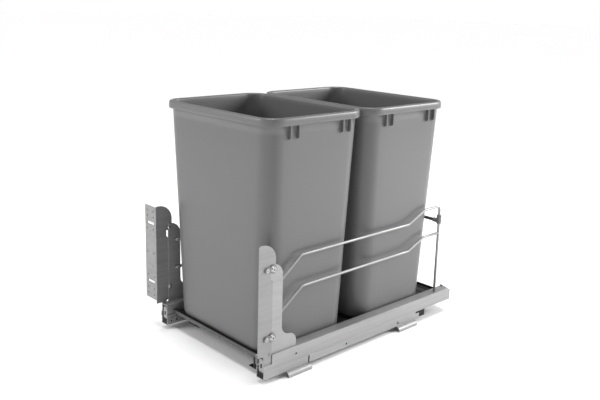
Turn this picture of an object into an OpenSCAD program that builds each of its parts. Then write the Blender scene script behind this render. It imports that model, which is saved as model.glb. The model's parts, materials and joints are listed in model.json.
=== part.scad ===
// Double pull-out waste bin unit for a kitchen base cabinet. Millimetres, +Z up.
// Origin: midway between the four floor screw holes, on the cabinet floor under the feet.
// +X is the right side seen from the door, -Y is the door side.

/* [Overall] */
// Front edges of the door brackets to the rear ends of the side rails
unit_d = 573; // [540:1:610]
// Top of the bin rims above the cabinet floor
unit_h = 489.5; // [470:0.5:500]
// Outer faces of the side rails from the centre line
rail_x = 169.4; // [160:0.1:185]
// Folded sheet thickness
sheet = 1.5; // [1:0.1:2]

/* [Slides] */
// Width over one slide, which is also the width of the rail's top lip
slide_w = 22.6; // [18:0.1:26]
// Top of the side rails above the cabinet floor
rail_top = 54.5; // [50:0.5:60]
// Lower edge of the moving side rail
rail_low = 26.8; // [24:0.1:30]
// Underside of the fixed slide members
member_z = 9.5; // [8:0.5:12]
// Front end of the slides behind the door plane
member_y = 13; // [8:1:20]
// Length of the fixed slide members
member_l = 450; // [400:1:480]
// Roller diameter
roller_d = 4.4; // [3:0.1:5]
// Length of each roller cage
cage_l = 200; // [150:5:240]
// Rollers in one cage
cage_rollers = 8; // [4:1:12]

/* [Feet] */
// Length of one foot along the slide
foot_l = 60; // [40:1:80]
// Front edge of the front feet behind the door plane
front_foot_y = 67; // [50:1:90]
// Front edge of the rear feet behind the door plane
rear_foot_y = 386; // [340:1:400]
// Inner edges of the foot flanges from the centre line
foot_in = 114; // [100:1:125]
// Floor screw holes from the centre line
floor_hole_x = 128; // [118:1:135]
// Floor screw hole diameter
floor_hole_d = 5.5; // [4:0.1:7]

/* [Tray] */
// Front lip of the tray behind the door plane
tray_y = 28; // [24:1:34]
// Top of the steel floor above the cabinet floor
tray_z = 36; // [35:0.5:40]
// Top of the front and rear lips
tray_lip = 42; // [40:0.5:48]
// Thickness of the ribbed mat
mat_t = 1.6; // [1:0.1:3]

/* [Door brackets] */
// Outer edge of the left bracket's door flange from the centre line
flange_x = 207.2; // [195:0.1:215]
// Bracket plate thickness
plate_t = 2; // [1.5:0.1:3]
// Bottom of the door flange, and of the outer plates behind the side rails' walls
flange_low = 62.5; // [58:0.5:70]
plate_low = 33; // [32:0.5:42]
// Top of the door brackets
flange_top = 268; // [240:0.5:280]
// Depth of the outer plate's top ear, and of the plate below it
ear_d = 38.5; // [34:0.5:45]
outer_d = 32; // [28:0.5:36]
// Upper and lower door screw slots above the floor
slot_hi = 229.3; // [215:0.1:240]
slot_lo = 100.8; // [90:0.1:110]
// Door screw slots from the centre line
slot_x = 187; // [180:0.5:192]
// Slot length and width
slot_l = 26; // [15:0.5:30]
slot_w = 5.5; // [4:0.1:7]
// Height of the upper and lower bracket bolts
bolt_hi = 220.5; // [210:0.5:230]
bolt_lo = 89; // [80:0.5:100]
// Bracket bolts behind the door plane
bolt_y = 31.5; // [28:0.5:34]

/* [Wire rails] */
// Wire diameter
wire_d = 5.6; // [4:0.1:7]
// Wire plane from the centre line
wire_x = 160.8; // [158:0.1:163]
// Rear post behind the door plane
post_y = 524; // [510:1:540]
// Rear cross bar height and diameter
bar_z = 221; // [210:1:230]
bar_d = 7; // [5:0.5:9]

/* [Bins] */
// Rim width across the unit
bin_w = 333.8; // [320:0.1:340]
// Rim length along the unit
bin_l = 247.6; // [235:0.1:252]
// Rim corner radius
rim_r = 38; // [25:1:45]
// Rim height
rim_h = 15.4; // [12:0.1:20]
// Front rim behind the door plane
bin_y = 18.5; // [15:0.5:22]
// Distance from bin to bin
bin_pitch = 254.8; // [250:0.1:260]
// Wall thickness
wall = 2.6; // [2:0.1:4]
// Half width and half length under the rim
body_w = 160.3; // [155:0.1:162]
body_l = 117.2; // [112:0.1:119]
// Half width and half length at the foot
base_w = 143.2; // [138:0.1:144]
base_l = 107.6; // [100:0.1:110]

/* [Hidden] */
$fn = 48;
member_in = rail_x - slide_w + 1.4;
member_out = rail_x - 0.2;
bin_z = tray_z + mat_t + 1;
rim_low = unit_h - rim_h;
inner_plate = rail_x - 3.9;
outer_plate = inner_plate + 0.2;
middle_in = member_in + 4.6;
middle_out = member_out - 4.4;
middle_low = member_z + sheet + roller_d + 0.6;
middle_top = rail_top - sheet - roller_d - 0.6;
hole_rows = [72.9, 86.2, 113.5, 165, 217.5, 244, 255.5];

module from_front() translate([0, -(front_foot_y + rear_foot_y + foot_l) / 2, 0]) children();
module left_side() mirror([1, 0, 0]) children();
module both_sides() { children(); mirror([1, 0, 0]) children(); }

// A straight length of bar from p to q, with ball ends for the welded bends
module rod(p, q, d) {
  v = q - p;
  translate(p) rotate([0, acos(v[2] / norm(v)), atan2(v[1], v[0])]) cylinder(d = d, h = norm(v));
}
module rod_chain(points, d) {
  for (i = [0 : len(points) - 2]) rod(points[i], points[i + 1], d);
  for (i = [1 : len(points) - 2]) translate(points[i]) rotate([90, 0, 0]) sphere(d = d + 0.2);
}
// A plate in the Y-Z plane, its inner face at x
module side_plate(x, t) translate([x, 0, 0]) rotate([90, 0, 90]) linear_extrude(t) children();
// A profile in the X-Z plane, running back from y over a length l
module profile(y, l) translate([0, y + l, 0]) rotate([90, 0, 0]) linear_extrude(l) children();
module slot_2d(l, w) {
  square([l - w, w], center = true);
  for (s = [-1, 1]) translate([s * (l - w) / 2, 0]) circle(d = w);
}

// Fixed member: open-topped channel, taller on its inner side
module cabinet_member() color("silver") from_front() difference() {
  profile(member_y, member_l) {
    translate([member_in, member_z]) square([member_out - member_in, sheet]);
    translate([member_out - sheet, member_z]) square([sheet, rail_low - 0.2 - member_z]);
    translate([member_in, member_z]) square([sheet, 22]);
  }
  // Slit behind the front foot
  translate([member_out - 5, member_y + 112, member_z - 1]) cube([10, 3, 16]);
  // Cut-away outer corner at the rear end
  translate([member_out - 5, member_y + member_l - 12, member_z + 12.5]) cube([10, 20, 10]);
  for (y = [231, 391])
    translate([member_out, y, member_z + 7.6]) rotate([0, 90, 0]) cylinder(d = 4.5, h = 10, center = true);
  // Lightening holes in the inner side
  for (y = [24 : 14 : 66], z = [17, 25])
    translate([member_in, y, z]) rotate([0, 90, 0]) cylinder(d = 4, h = 6, center = true);
}

module foot_profile() {
  translate([foot_in, 0]) square([member_in - foot_in, sheet]);
  translate([member_in - sheet, 0]) square([sheet, member_z]);
  translate([member_in - sheet, member_z - sheet]) square([rail_x + 2.6 - member_in + sheet, sheet]);
  translate([rail_x + 2.6, member_z - 6.5]) intersection() {
    difference() { circle(r = 6.5); circle(r = 5); }
    square(10);
  }
  translate([rail_x + 7.6, 0]) square([sheet, member_z - 6.5]);
}
module foot(y) color("silver") from_front() difference() {
  profile(y, foot_l) foot_profile();
  translate([floor_hole_x, y + foot_l / 2, -1]) cylinder(d = floor_hole_d, h = 5);
}
module front_bumper() color("black") from_front()
  translate([member_in + sheet, member_y, member_z + sheet])
    cube([member_out - member_in - 2 * sheet, 8, middle_low - member_z - sheet - 0.3]);
module rear_stop() color("black") from_front() {
  translate([middle_out + 0.8, member_y + member_l - 8, member_z + sheet]) cube([2, 29, 14.8]);
  translate([member_in + sheet, member_y + member_l - 8, member_z + sheet])
    cube([member_out - member_in - 2 * sheet, 7.8, middle_low - member_z - sheet - 0.3]);
}

// Middle member: tube with rounded corners, carried between two sets of rollers
module tube_2d(x, z, w, h, r) {
  translate([x + r, z]) square([w - 2 * r, h]);
  translate([x, z + r]) square([w, h - 2 * r]);
  for (u = [r, w - r], v = [r, h - r]) translate([x + u, z + v]) circle(r = r);
}
middle_w = middle_out - middle_in;
middle_h = middle_top - middle_low;
module middle_member() color("silver") from_front() {
  profile(member_y + 2, member_l - 11) difference() {
    tube_2d(middle_in, middle_low, middle_w, middle_h, 5);
    tube_2d(middle_in + sheet, middle_low + sheet, middle_w - 2 * sheet, middle_h - 2 * sheet, 3.5);
  }
  // Slotted plate closing the front end
  profile(member_y + 2, sheet) difference() {
    tube_2d(middle_in, middle_low, middle_w, middle_h, 5);
    translate([middle_in + middle_w / 2, middle_low + 18]) rotate(90) slot_2d(9, 4.4);
  }
}
module slide_cap() color("black") from_front()
  translate([middle_in - 0.8, member_y + 0.4, middle_low]) cube([middle_w + 1.6, 1.6, 5.6]);
function roller_y(y, i) = y + cage_l * (i + 0.5) / cage_rollers;
module cage(y, z) color("dimgray") from_front() difference() {
  translate([middle_in + 0.2, y, z - 1.2]) cube([middle_out - middle_in - 0.4, cage_l, 2.4]);
  for (i = [0 : cage_rollers - 1])
    translate([middle_in + 1.5, roller_y(y, i) - roller_d / 2 - 0.3, z - 3])
      cube([middle_out - middle_in - 3, roller_d + 0.6, 6]);
}
module rollers(y, z) color("gainsboro") from_front() for (i = [0 : cage_rollers - 1])
  translate([middle_in + 1.8, roller_y(y, i), z]) rotate([0, 90, 0])
    cylinder(d = roller_d, h = middle_out - middle_in - 3.6);
lower_z = member_z + sheet + 0.3 + roller_d / 2;
upper_z = rail_top - sheet - 0.3 - roller_d / 2;

// Side rail: inverted channel whose outer wall covers the slide
module side_rail() color("silver") from_front() difference() {
  union() {
    profile(member_y - 1, unit_d - member_y + 1) {
      translate([rail_x - sheet, rail_low]) square([sheet, rail_top - rail_low]);
      translate([rail_x - slide_w, rail_top - sheet]) square([slide_w, sheet]);
      translate([rail_x - slide_w, tray_z - sheet]) square([sheet, rail_top - tray_z + sheet]);
    }
    // Raised tab at the rear of the lip
    translate([rail_x - slide_w + 1, unit_d - 10, rail_top - 0.2]) cube([7, 1.5, 4.2]);
  }
  // Slanted rear end of the lip
  translate([rail_x - slide_w - 1, unit_d, rail_top - sheet - 1]) rotate([0, 0, -19])
    translate([-10, 0, 0]) cube([40, 20, 8]);
  translate([rail_x, 92, 39.5]) rotate([0, 90, 0]) cylinder(d = 4, h = 8, center = true);
  // Front outer corner cut away where the door bracket's plate passes
  translate([outer_plate - 0.3, member_y - 2, 36.5]) cube([10, outer_d + 2.3 - member_y, 20]);
}
tray_half = rail_x - slide_w;
module tray_pan() color("silver") from_front() {
  translate([-tray_half, tray_y, tray_z - sheet]) cube([2 * tray_half, unit_d - tray_y - 1, sheet]);
  for (y = [tray_y, unit_d - 1 - sheet])
    translate([-tray_half, y, tray_z - sheet]) cube([2 * tray_half, sheet, tray_lip - tray_z + sheet]);
}
module tray_mat() color("black") from_front() {
  translate([-tray_half + 0.2, tray_y + sheet + 0.2, tray_z])
    cube([2 * tray_half - 0.4, unit_d - tray_y - 2 * sheet - 1.4, mat_t]);
  for (y = [tray_y + sheet + 0.2, unit_d - 1 - sheet - 2.2])
    translate([-tray_half + 0.2, y, tray_z]) cube([2 * tray_half - 0.4, 2, tray_lip - tray_z]);
  for (i = [0 : 21]) translate([-tray_half + 4, tray_y + 12 + i * 24.6, tray_z + mat_t - 0.2])
    cube([2 * tray_half - 8, 3, 1.2]);
}
// Hanging hook under the front of the tray, right side only
module front_hook() color("black") from_front() {
  translate([120, tray_y + 1, 10.5]) cube([6.5, 1.8, tray_z - sheet - 10.5]);
  translate([107, tray_y + 1, 10.5]) cube([14, 9, 1.8]);
  translate([120, tray_y + 1, tray_z - sheet - 1.8]) cube([6.5, 14, 1.8]);
}

module inner_bracket_2d() difference() {
  union() {
    translate([28, rail_top]) square([30, 173.5 - 24]);
    translate([28, rail_top]) square([6, 173.5]);
    translate([34, rail_top + 173.5 - 24]) circle(r = 24);
    translate([28, rail_top]) square([66.5, 11]);
    translate([28, rail_top]) square([48, 29]);
    translate([76, rail_top + 10.5]) circle(r = 18.5);
    translate([57, rail_top + 28]) square([21, 21]);
  }
  translate([78, rail_top + 49]) circle(r = 20);
  translate([-20, rail_top]) square([48, 200]);
  translate([20, rail_top - 20]) square([90, 20]);
  translate([26, 57]) circle(d = 9);
}
module inner_bracket() color("silver") from_front() {
  difference() {
    side_plate(inner_plate - plate_t, plate_t) inner_bracket_2d();
    for (z = [bolt_lo, bolt_hi])
      translate([inner_plate, bolt_y, z]) rotate([0, 90, 0]) cylinder(d = 6.3, h = 10, center = true);
  }
  // Foot flange on the rail's lip
  translate([rail_x - slide_w + 1.5, 30, rail_top]) cube([slide_w - 5.5, 62, plate_t]);
}

module wire_rail() color("gainsboro") from_front() {
  x = wire_x;
  top = 254.3;
  bend = 9;
  rod_chain([[x, 44, 190.5], [x, 56, 190.5], [x, 107, 230], [x, 418, 231], [x, 471, 254.3],
    [x, post_y - bend, top]], wire_d);
  rod_chain([[x, 44, 129.5], [x, 58, 129.5], [x, 111, 168], [x, 421, 171], [x, 472, 192.8],
    [x, post_y, 193]], wire_d - 0.2);
  // Rounded corner into the rear post
  translate([x, post_y - bend, top - bend]) rotate([90, 0, 90]) rotate_extrude(angle = 90)
    translate([bend, 0]) circle(d = wire_d);
  for (p = [[x, post_y - bend, top], [x, post_y, top - bend]]) translate(p) sphere(d = wire_d + 0.1);
  rod([x, post_y, rail_top], [x, post_y, top - bend], wire_d);
}
module rear_bar() color("black") from_front()
  rod([-wire_x + 7, post_y, bar_z], [wire_x - 7, post_y, bar_z], bar_d);
module bar_clip() color("black") from_front() difference() {
  union() {
    translate([wire_x, post_y, 215]) cylinder(d = 10.5, h = 19);
    translate([wire_x - 14, post_y, bar_z]) rotate([0, 90, 0]) cylinder(d = bar_d + 3, h = 12);
  }
  translate([wire_x, post_y, 200]) cylinder(d = wire_d + 0.1, h = 50);
  translate([wire_x - 15, post_y, bar_z]) rotate([0, 90, 0]) cylinder(d = bar_d + 0.1, h = 8);
}

// Outer plate: rounded ear at the top, and notches in the rear edge that hook over the bolts
module outer_plate_2d() difference() {
  union() {
    translate([0, flange_low]) square([outer_d, flange_top - flange_low - 30]);
    translate([0, flange_low - 6.5]) square([outer_d, 10]);
    translate([13, plate_low]) square([outer_d - 13, 35]);
    translate([8.5, flange_top - 42]) square([ear_d - 8.5, 12]);
    translate([4, flange_low]) square([ear_d - 34, flange_top - flange_low]);
    translate([0, flange_low]) square([ear_d - 30, flange_top - flange_low - 4]);
    translate([4, flange_top - 4]) circle(r = 4);
    intersection() {
      translate([ear_d - 30, flange_top - 30]) circle(r = 30);
      translate([4, flange_top - 31]) square([60, 60]);
    }
  }
  translate([31.5, bolt_hi - 9.5]) square([13, 15], center = true);
  for (dz = [-17, -0.5]) translate([31.5, bolt_hi + dz]) circle(d = 13);
  translate([bolt_y, bolt_lo]) rotate(90) slot_2d(20, 8);
  translate([26, 57]) circle(d = 5);
}
module door_plate() color("silver") from_front() side_plate(outer_plate, plate_t) outer_plate_2d();
module door_bracket() color("silver") from_front() difference() {
  union() {
    side_plate(outer_plate, plate_t) outer_plate_2d();
    translate([outer_plate, 0, flange_low])
      cube([flange_x - outer_plate, plate_t, flange_top - 2 - flange_low]);
  }
  for (z = [slot_lo, slot_hi]) translate([slot_x, 5, z]) rotate([90, 0, 0])
    linear_extrude(10) slot_2d(slot_l, slot_w);
  for (x = [175.5, 198.5], z = hole_rows) translate([x, 5, z]) rotate([90, 0, 0])
    cylinder(d = 3.8, h = 10);
}
module bracket_bolts() color("gainsboro") both_sides() from_front() for (z = [bolt_lo, bolt_hi])
  translate([inner_plate - plate_t - 3, bolt_y, z]) rotate([0, 90, 0]) {
    cylinder(d = 6.2, h = 9.2);
    // Domed head on the bin side
    intersection() {
      cylinder(d = 10, h = 3);
      translate([0, 0, 3]) scale([1, 1, 0.6]) sphere(d = 10, $fn = 24);
    }
    translate([0, 0, 9.2]) difference() {
      cylinder(d1 = 12.5, d2 = 8.5, h = 3);
      translate([0, 0, 1.2]) cylinder(d = 4.4, h = 3, $fn = 6);
    }
    // Adjuster screw beside the bolt
    translate([0, -14.5, 9.2]) difference() {
      cylinder(d = 7.5, h = 1.8);
      translate([0, 0, 0.6]) cylinder(d = 3.4, h = 3, $fn = 6);
    }
  }
module bracket_washers() color("gainsboro") both_sides() from_front() for (z = [bolt_lo, bolt_hi])
  translate([outer_plate + plate_t + 0.2, bolt_y, z]) rotate([0, 90, 0]) difference() {
    union() {
      cylinder(d = 17, h = 1.8);
      translate([0, -14.5, 0]) cylinder(d = 11, h = 1.8);
      translate([-5.5, -14.5, 0]) cube([11, 14.5, 1.8]);
    }
    translate([0, 0, -1]) cylinder(d = 6.3, h = 4);
  }

module slab(w, l, r, z) translate([0, 0, z]) linear_extrude(0.5)
  offset(r = r) square([2 * (w - r), 2 * (l - r)], center = true);
// Tapered body with a rounded foot, shrunk by t all round
module bin_body(t, top) hull() {
  slab(base_w - 7 - t, base_l - 7 - t, 33, bin_z + t);
  slab(base_w - 2 - t, base_l - 2 - t, 36, bin_z + 4 + t * 0.7);
  slab(base_w - t, base_l - t, 38, bin_z + 9);
  slab(body_w - t, body_l - t, 35, top);
}
module bin(n) color("darkgray") from_front() translate([0, bin_y + bin_l / 2 + n * bin_pitch, 0]) {
  difference() {
    union() {
      bin_body(0, rim_low + 2);
      hull() {
        slab(bin_w / 2, bin_l / 2, rim_r, rim_low);
        slab(bin_w / 2, bin_l / 2, rim_r, unit_h - 2.5);
        slab(bin_w / 2 - 2, bin_l / 2 - 2, rim_r - 2, unit_h - 0.5);
      }
    }
    bin_body(wall, unit_h + 1);
  }
  // Gusset ribs under the rim
  for (s = [-1, 1], y = [-72, -52, 60, 79.5]) translate([0, y + 2, 0]) rotate([90, 0, 0])
    linear_extrude(4) polygon([[s * (body_w - 1.8), rim_low + 0.5], [s * (bin_w / 2 - 0.8), rim_low + 0.5],
      [s * (bin_w / 2 - 0.8), rim_low - 21], [s * (body_w - 1.8), rim_low - 25]]);
}

cabinet_member();  // right_cabinet_member
left_side() cabinet_member();  // left_cabinet_member
foot(front_foot_y);  // right_front_foot
left_side() foot(front_foot_y);  // left_front_foot
foot(rear_foot_y);  // right_rear_foot
left_side() foot(rear_foot_y);  // left_rear_foot
front_bumper();  // right_front_bumper
left_side() front_bumper();  // left_front_bumper
rear_stop();  // right_rear_stop
left_side() rear_stop();  // left_rear_stop
middle_member();  // right_middle_member
left_side() middle_member();  // left_middle_member
slide_cap();  // right_slide_cap
left_side() slide_cap();  // left_slide_cap
cage(140, lower_z);  // right_lower_cage
left_side() cage(140, lower_z);  // left_lower_cage
cage(190, upper_z);  // right_upper_cage
left_side() cage(190, upper_z);  // left_upper_cage
rollers(140, lower_z);  // right_lower_rollers
left_side() rollers(140, lower_z);  // left_lower_rollers
rollers(190, upper_z);  // right_upper_rollers
left_side() rollers(190, upper_z);  // left_upper_rollers
side_rail();  // right_side_rail
left_side() side_rail();  // left_side_rail
tray_pan();
tray_mat();
front_hook();
inner_bracket();  // right_inner_bracket
left_side() inner_bracket();  // left_inner_bracket
wire_rail();  // right_wire_rail
left_side() wire_rail();  // left_wire_rail
rear_bar();
bar_clip();  // right_bar_clip
left_side() bar_clip();  // left_bar_clip
bracket_bolts();
bracket_washers();
door_plate();  // right_door_bracket
left_side() door_bracket();  // left_door_bracket
bin(0);  // front_bin
bin(1);  // rear_bin
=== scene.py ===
"""Looks for the double pull-out waste bin unit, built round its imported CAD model."""

import json
import math

import bmesh
import bpy
from mathutils import Matrix, Vector


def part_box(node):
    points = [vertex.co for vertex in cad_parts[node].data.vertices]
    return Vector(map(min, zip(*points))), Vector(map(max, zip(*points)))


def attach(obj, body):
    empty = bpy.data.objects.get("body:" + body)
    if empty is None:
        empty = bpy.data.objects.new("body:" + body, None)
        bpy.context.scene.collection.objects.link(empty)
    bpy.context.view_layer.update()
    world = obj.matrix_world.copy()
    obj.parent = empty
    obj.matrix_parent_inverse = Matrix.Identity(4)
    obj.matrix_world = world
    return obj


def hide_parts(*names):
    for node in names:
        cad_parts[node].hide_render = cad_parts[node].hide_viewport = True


MM = 0.001


# ---------------------------------------------------------------- materials

def new_material(name):
    """A node material and its Principled shader."""
    material = bpy.data.materials.new(name)
    material.use_nodes = True
    return material, material.node_tree, material.node_tree.nodes["Principled BSDF"]


def noise(tree, scale, detail=4.0, stretch=(1, 1, 1), roughness=0.5):
    """A noise texture in object space, stretched along an axis for brushed or drawn metal."""
    where = tree.nodes.new("ShaderNodeTexCoord")
    mapping = tree.nodes.new("ShaderNodeMapping")
    mapping.inputs["Scale"].default_value = stretch
    texture = tree.nodes.new("ShaderNodeTexNoise")
    texture.inputs["Scale"].default_value = scale
    texture.inputs["Detail"].default_value = detail
    texture.inputs["Roughness"].default_value = roughness
    tree.links.new(where.outputs["Object"], mapping.inputs["Vector"])
    tree.links.new(mapping.outputs["Vector"], texture.inputs["Vector"])
    return texture.outputs["Fac"]


def ramp(tree, value, stops):
    """Maps a value to colours, given as (place, grey or colour) stops."""
    node = tree.nodes.new("ShaderNodeValToRGB")
    elements = node.color_ramp.elements
    while len(elements) < len(stops):
        elements.new(0.5)
    for element, (place, colour) in zip(elements, stops):
        element.position = place
        rgb = colour if hasattr(colour, "__len__") else (colour,) * 3
        element.color = (*rgb, 1)
    tree.links.new(value, node.inputs["Fac"])
    return node.outputs["Color"]


def bump(tree, shader, height, strength, distance):
    """Raises the shader's normal by a height."""
    node = tree.nodes.new("ShaderNodeBump")
    node.inputs["Strength"].default_value = strength
    node.inputs["Distance"].default_value = distance
    tree.links.new(height, node.inputs["Height"])
    tree.links.new(node.outputs["Normal"], shader.inputs["Normal"])


def sheet_steel(name="zinc_steel", dark=0.33, light=0.38):
    """Zinc-plated sheet: satin, part dulled, with faint rolling streaks along the unit."""
    material, tree, shader = new_material(name)
    shader.inputs["Metallic"].default_value = 0.7
    streak = noise(tree, 60, 5, (1, 0.08, 2))
    tree.links.new(ramp(tree, streak, [(0.3, dark), (0.7, light)]), shader.inputs["Base Color"])
    worn = noise(tree, 20, 3)
    tree.links.new(ramp(tree, worn, [(0.3, 0.50), (0.7, 0.58)]), shader.inputs["Roughness"])
    bump(tree, shader, noise(tree, 900, 2, (1, 0.1, 1)), 0.12, 0.0002)
    return material


def bin_plastic():
    """Moulded silver-grey plastic with a fine matte grain."""
    material, tree, shader = new_material("bin_plastic")
    speckle, slow = noise(tree, 1500, 2), noise(tree, 8, 3)
    tree.links.new(ramp(tree, speckle, [(0.3, 0.115), (0.7, 0.135)]), shader.inputs["Base Color"])
    tree.links.new(ramp(tree, slow, [(0.3, 0.34), (0.7, 0.40)]), shader.inputs["Roughness"])
    bump(tree, shader, noise(tree, 1200, 3), 0.15, 0.0002)
    return material


def plain(name, base, rough, metallic=0.0, specular=0.5, grain=400):
    """A grey material with a fine grain in its colour and slow changes in its roughness."""
    material, tree, shader = new_material(name)
    shader.inputs["Metallic"].default_value = metallic
    shader.inputs["Specular IOR Level"].default_value = specular
    tree.links.new(ramp(tree, noise(tree, grain, 3), [(0.3, base * 0.9), (0.7, base * 1.1)]),
                   shader.inputs["Base Color"])
    tree.links.new(ramp(tree, noise(tree, grain / 20, 3), [(0.3, rough * 0.85), (0.7, rough * 1.15)]),
                   shader.inputs["Roughness"])
    return material


# ---------------------------------------------------------------- shapes

def from_mesh(name, mesh, look, smooth=True):
    """An object in the scene with one material."""
    obj = bpy.data.objects.new(name, mesh)
    bpy.context.scene.collection.objects.link(obj)
    mesh.materials.append(look)
    mesh.polygons.foreach_set("use_smooth", [smooth] * len(mesh.polygons))
    return obj


def rounded_ring(half_x, half_y, radius, centre, z, steps=10, straight=8):
    """Points round a rounded rectangle, anticlockwise seen from above."""
    signs = ((1, 1), (-1, 1), (-1, -1), (1, -1))

    def corner(quarter, angle):
        """A point on the arc of one corner."""
        sx, sy = signs[quarter % 4]
        middle = Vector((sx * (half_x - radius), sy * (half_y - radius), 0))
        return middle + radius * Vector((math.cos(angle), math.sin(angle), 0))

    points = []
    for quarter in range(4):
        points += [corner(quarter, math.pi / 2 * (quarter + step / steps)) for step in range(steps + 1)]
        last, following = points[-1], corner(quarter + 1, math.pi / 2 * (quarter + 1))
        points += [last.lerp(following, k / straight) for k in range(1, straight)]
    return [centre + p + Vector((0, 0, z)) for p in points]


def loft(name, rings, look):
    """A closed skin through a stack of rings with equal point counts."""
    work = bmesh.new()
    layers = [[work.verts.new(p) for p in ring] for ring in rings]
    count = len(layers[0])
    for low, high in zip(layers, layers[1:]):
        for i in range(count):
            j = (i + 1) % count
            work.faces.new((low[i], low[j], high[j], high[i]))
    work.faces.new(layers[0][::-1])
    work.faces.new(layers[-1])
    bmesh.ops.recalc_face_normals(work, faces=work.faces)
    mesh = bpy.data.meshes.new(name)
    work.to_mesh(mesh)
    work.free()
    return from_mesh(name, mesh, look)


def bent_path(points, bend, steps=7):
    """The points with each inner corner rounded by an arc of roughly the given radius."""
    path = [points[0]]
    for before, at, after in zip(points, points[1:], points[2:]):
        a, b = (before - at).normalized(), (after - at).normalized()
        half = a.angle(b) / 2
        run = min(bend / math.tan(half), 0.45 * min((before - at).length, (after - at).length))
        start, end = at + a * run, at + b * run
        for k in range(steps + 1):
            t = k / steps
            path.append((1 - t) ** 2 * start + 2 * t * (1 - t) * at + t * t * end)
    return path + [points[-1]]


def tube(name, path, radius, look, sides=20):
    """A round wire swept along a path, its ends closed."""
    rings, spun = [], None
    for i, at in enumerate(path):
        along = (path[min(i + 1, len(path) - 1)] - path[max(i - 1, 0)]).normalized()
        if spun is None:
            spun = along.orthogonal().normalized()
        spun = (spun - along * spun.dot(along)).normalized()
        across = along.cross(spun)
        angles = [2 * math.pi * k / sides for k in range(sides)]
        rings.append([at + radius * (math.cos(a) * spun + math.sin(a) * across) for a in angles])
    return loft(name, rings, look)


def soften(node, width, segments=2):
    """Small rounded edges on a folded or cut sheet."""
    weld = node.modifiers.new("weld", "WELD")
    weld.merge_threshold = 0.00001
    edge = node.modifiers.new("edge", "BEVEL")
    edge.width, edge.segments = width, segments
    edge.limit_method, edge.angle_limit = "ANGLE", math.radians(35)
    node.data.polygons.foreach_set("use_smooth", [False] * len(node.data.polygons))


# ---------------------------------------------------------------- bins

# Half width and half length of a bin's body under the rim and at the foot, in millimetres
BODY_TOP = (160.3, 117.2)
BODY_FOOT = (143.2, 107.6)
RIM_HEIGHT, RIM_RADIUS, RIM_WIDTH = 15.4, 38, 9.3
FOOT_HEIGHT, BIN_WALL = 9, 2.6
BODY_STEPS = 24
# Rib pairs along a bin's side, measured from its middle, and their size
RIB_PLACES = (-72, -52, 60, 79.5)
RIB_HALF, RIB_DROP, RIB_ROOT = 1.6, 22.5, 157.6


def bin_shell(name, node, look):
    """One bin: tapered body, folded-out rim with a rounded top, and rib pairs under the rim."""
    low, high = map(Vector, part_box(node))
    centre = Vector(((low.x + high.x) / 2, (low.y + high.y) / 2, 0))
    rim_x, rim_y = (high.x - low.x) / 2, (high.y - low.y) / 2
    top, foot = high.z, low.z
    under = top - RIM_HEIGHT * MM
    base = foot + FOOT_HEIGHT * MM
    height = under - base

    def ring(half_x, half_y, radius, z):
        return rounded_ring(half_x, half_y, radius, centre, z)

    def body(share, inset):
        """Outline of the body at a share of its height, moved in by an inset."""
        x, y = (f + (t - f) * share for f, t in zip(BODY_FOOT, BODY_TOP))
        return x * MM - inset, y * MM - inset, (RIM_RADIUS - 3 * share) * MM

    # Rounded foot and tapered body, as steps of inset and height
    rings = [ring(*body(0, inset * MM), foot + z * MM)
             for inset, z in ((7, 0), (4.2, 0.6), (2, 2.6), (0.7, 5.6), (0, FOOT_HEIGHT))]
    for k in range(1, BODY_STEPS + 1):
        rings.append(ring(*body(k / BODY_STEPS, 0), base + height * k / BODY_STEPS))
    # Under the rim, out to its edge, up and over its rounded top, as steps of inset and drop
    x, y, radius = body(1, 0)
    rings.append(ring(x + 1.2 * MM, y + 1.2 * MM, radius, under + 0.2 * MM))
    rings.append(ring(rim_x - 1.6 * MM, rim_y - 1.6 * MM, (RIM_RADIUS - 1.6) * MM, under + 0.2 * MM))
    for inset, drop in ((0.5, 14.9), (0, 14.1), (0.1, 9), (0.3, 4.2), (0.9, 2.1), (2.0, 0.7),
                        (3.4, 0.1), (5.0, 0.0), (6.6, 0.1), (8.0, 0.7), (8.9, 1.9),
                        (RIM_WIDTH, 4), (RIM_WIDTH, 12)):
        rings.append(ring(rim_x - inset * MM, rim_y - inset * MM, (RIM_RADIUS - inset) * MM,
                          top - drop * MM))
    # Down the inside to the floor
    inside = BIN_WALL * MM
    for k in range(BODY_STEPS, -1, -1):
        z = base + height * k / BODY_STEPS
        if z < top - 20 * MM:
            rings.append(ring(*body(k / BODY_STEPS, inside), z))
    for inset, z in ((0.8, 6.4), (2.4, 4), (5, 3), (10, 2.8)):
        rings.append(ring(*body(0, inside + inset * MM), foot + z * MM))
    return [loft(name, rings, look), bin_ribs(name + "_ribs", centre, rim_x, under, look)]


def bin_ribs(name, centre, rim_x, under, look):
    """Upright ribs below the rim on both sides of a bin."""
    outer, inner = rim_x - 0.9 * MM, RIB_ROOT * MM
    head, tip = under + 0.4 * MM, under - RIB_DROP * MM
    profile = [(inner, head), (outer, head), (outer, tip + 1.5 * MM), (outer - 1.2 * MM, tip),
               (inner, tip - 3 * MM)]
    work = bmesh.new()
    for side in (-1, 1):
        for y in RIB_PLACES:
            faces = []
            for offset in (-RIB_HALF, RIB_HALF):
                faces.append([work.verts.new((centre.x + side * px, centre.y + (y + offset) * MM, pz))
                              for px, pz in profile])
            for i in range(len(profile)):
                j = (i + 1) % len(profile)
                work.faces.new((faces[0][i], faces[0][j], faces[1][j], faces[1][i]))
            work.faces.new(faces[0])
            work.faces.new(faces[1][::-1])
    bmesh.ops.recalc_face_normals(work, faces=work.faces)
    mesh = bpy.data.meshes.new(name)
    work.to_mesh(mesh)
    work.free()
    ribs = from_mesh(name, mesh, look, smooth=False)
    edge = ribs.modifiers.new("edge", "BEVEL")
    edge.width, edge.segments = 0.5 * MM, 2
    return ribs


# ---------------------------------------------------------------- stage

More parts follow.
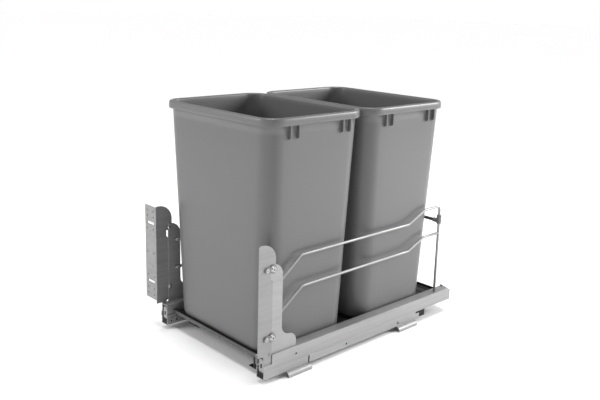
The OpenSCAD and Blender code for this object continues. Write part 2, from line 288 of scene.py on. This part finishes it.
def studio():
    """White surroundings, a pale floor, one overhead light and two softboxes."""
    world = bpy.data.worlds.new("studio")
    bpy.context.scene.world = world
    world.use_nodes = True
    tree, back = world.node_tree, world.node_tree.nodes["Background"]
    back.inputs["Strength"].default_value = 1.0
    # White down at the horizon and dimmer above, so that the softboxes model the shapes
    where = tree.nodes.new("ShaderNodeTexCoord")
    parts = tree.nodes.new("ShaderNodeSeparateXYZ")
    tree.links.new(where.outputs["Generated"], parts.inputs["Vector"])
    tree.links.new(ramp(tree, parts.outputs["Z"], [(0.11, 1.0), (0.26, 0.3)]), back.inputs["Color"])

    bpy.ops.mesh.primitive_plane_add(size=60, location=(0, 0, -0.0005))
    floor = bpy.context.object
    floor.name = "floor"
    material, tree, shader = new_material("floor")
    shader.inputs["Base Color"].default_value = (0.95, 0.95, 0.95, 1)
    shader.inputs["Roughness"].default_value = 0.8
    floor.data.materials.append(material)

    def softbox(name, place, aim, size, power):
        light = bpy.data.lights.new(name, "AREA")
        light.shape, light.size, light.size_y, light.energy = "RECTANGLE", size[0], size[1], power
        holder = bpy.data.objects.new(name, light)
        bpy.context.scene.collection.objects.link(holder)
        holder.location = place
        holder.rotation_euler = (Vector(aim) - Vector(place)).to_track_quat("-Z", "Y").to_euler()

    sun = bpy.data.lights.new("overhead", "SUN")
    sun.energy, sun.angle = 2.4, math.radians(25)
    holder = bpy.data.objects.new("overhead", sun)
    bpy.context.scene.collection.objects.link(holder)
    softbox("left", (-0.9, -1.7, 1.2), (0, -0.1, 0.3), (0.9, 0.9), 20)
    softbox("right", (1.25, 1.7, 1.1), (0, 0, 0.3), (0.8, 0.8), 47)


def camera():
    """Three-quarter view from the front right, the optical axis a little above the frame's middle."""
    data = bpy.data.cameras.new("camera")
    holder = bpy.data.objects.new("camera", data)
    bpy.context.scene.collection.objects.link(holder)
    bpy.context.scene.camera = holder
    data.sensor_width = 36
    data.lens = 45.6
    data.shift_y = -0.04
    yaw, pitch, roll = map(math.radians, (46.893, 12.797, 1.527))
    right = Vector((math.cos(yaw), math.sin(yaw), 0))
    level = Vector((-math.sin(yaw), math.cos(yaw), 0))
    forward = math.cos(pitch) * level - math.sin(pitch) * Vector((0, 0, 1))
    up = right.cross(forward)
    across = math.cos(roll) * right + math.sin(roll) * up
    above = -math.sin(roll) * right + math.cos(roll) * up
    turn = Matrix((across, above, -forward)).transposed().to_4x4()
    holder.matrix_world = Matrix.Translation((1.1358, -1.0710, 0.6838)) @ turn


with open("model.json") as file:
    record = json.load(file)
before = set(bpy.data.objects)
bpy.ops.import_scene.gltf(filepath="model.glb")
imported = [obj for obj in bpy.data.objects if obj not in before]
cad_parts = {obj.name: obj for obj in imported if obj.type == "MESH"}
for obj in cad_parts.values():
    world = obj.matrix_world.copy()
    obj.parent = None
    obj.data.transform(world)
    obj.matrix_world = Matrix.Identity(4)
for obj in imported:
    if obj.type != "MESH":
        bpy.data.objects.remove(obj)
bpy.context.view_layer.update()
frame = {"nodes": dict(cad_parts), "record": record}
bpy.context.scene.view_settings.view_transform = "Standard"
looks = {
    "zinc_steel": sheet_steel(),
    "bin_plastic": bin_plastic(),
    "bright_hardware": plain("bright_hardware", 0.45, 0.35, 1.0),
    "bright_wire": plain("bright_wire", 0.32, 0.5, 0.9),
    "black_plastic": plain("black_plastic", 0.008, 0.4, specular=0.2),
    "mat_rubber": plain("mat_rubber", 0.015, 0.4, specular=0.4),
}
for part in frame["record"]["subparts"]:
    node = frame["nodes"][part["node"]]
    node.data.materials.clear()
    node.data.materials.append(looks[part["material_slot"]])
    if part["material_slot"] == "zinc_steel":
        soften(node, 0.25 * MM)
# Duller or brighter steel where a part differs from the rest. The tray pan's near-black steel is
# painted shade: the same zinc steel as the rails, darkened to stand in for the deep shadow under the
# bins
for name, dark, light in (("bracket_washers", 0.22, 0.28), ("tray_pan", 0.10, 0.13),
                          ("right_door_bracket", 0.27, 0.32), ("left_door_bracket", 0.28, 0.33)):
    frame["nodes"][name].data.materials[0] = sheet_steel(name + "_steel", dark, light)
# The cross bar is a shade lighter than the slides' black parts, and its clips are grey
frame["nodes"]["rear_bar"].data.materials[0] = plain("bar_plastic", 0.035, 0.4)
for side in ("right", "left"):
    frame["nodes"][side + "_bar_clip"].data.materials[0] = plain(side + "_clip_plastic", 0.16, 0.4)

for bin_name in ("front_bin", "rear_bin"):
    for piece in bin_shell(bin_name + "_shell", bin_name, looks["bin_plastic"]):
        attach(piece, bin_name + "_body")
        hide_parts(bin_name)

# Wire side rails: two bent wires, from the bracket in front to a post behind. Places are in
# millimetres, y from the door plane
POST_Y, WIRE_X, WIRE_RADIUS = 524, 160.8, 2.8
UPPER = [(44, 190.5), (56, 190.5), (107, 230), (418, 231), (471, 254.3), (POST_Y, 254.3)]
LOWER = [(44, 129.5), (58, 129.5), (111, 168), (421, 171), (472, 192.8), (POST_Y, 193)]
for side, turn in (("right", 1), ("left", -1)):
    low, high = map(Vector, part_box(side + "_wire_rail"))
    door = high.y - (POST_Y + WIRE_RADIUS) * MM
    for name, route, bend in (("upper", UPPER, 11), ("lower", LOWER, 14)):
        points = [Vector((turn * WIRE_X * MM, door + y * MM, z * MM)) for y, z in route]
        if name == "upper":
            # Down the rear post to the rail's lip
            points.append(Vector((points[-1].x, points[-1].y, low.z)))
        wire = tube(side + "_wire_" + name, bent_path(points, bend * MM), WIRE_RADIUS * MM,
                    looks["bright_wire"])
        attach(wire, "carriage")
        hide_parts(side + "_wire_rail")

studio()
camera()
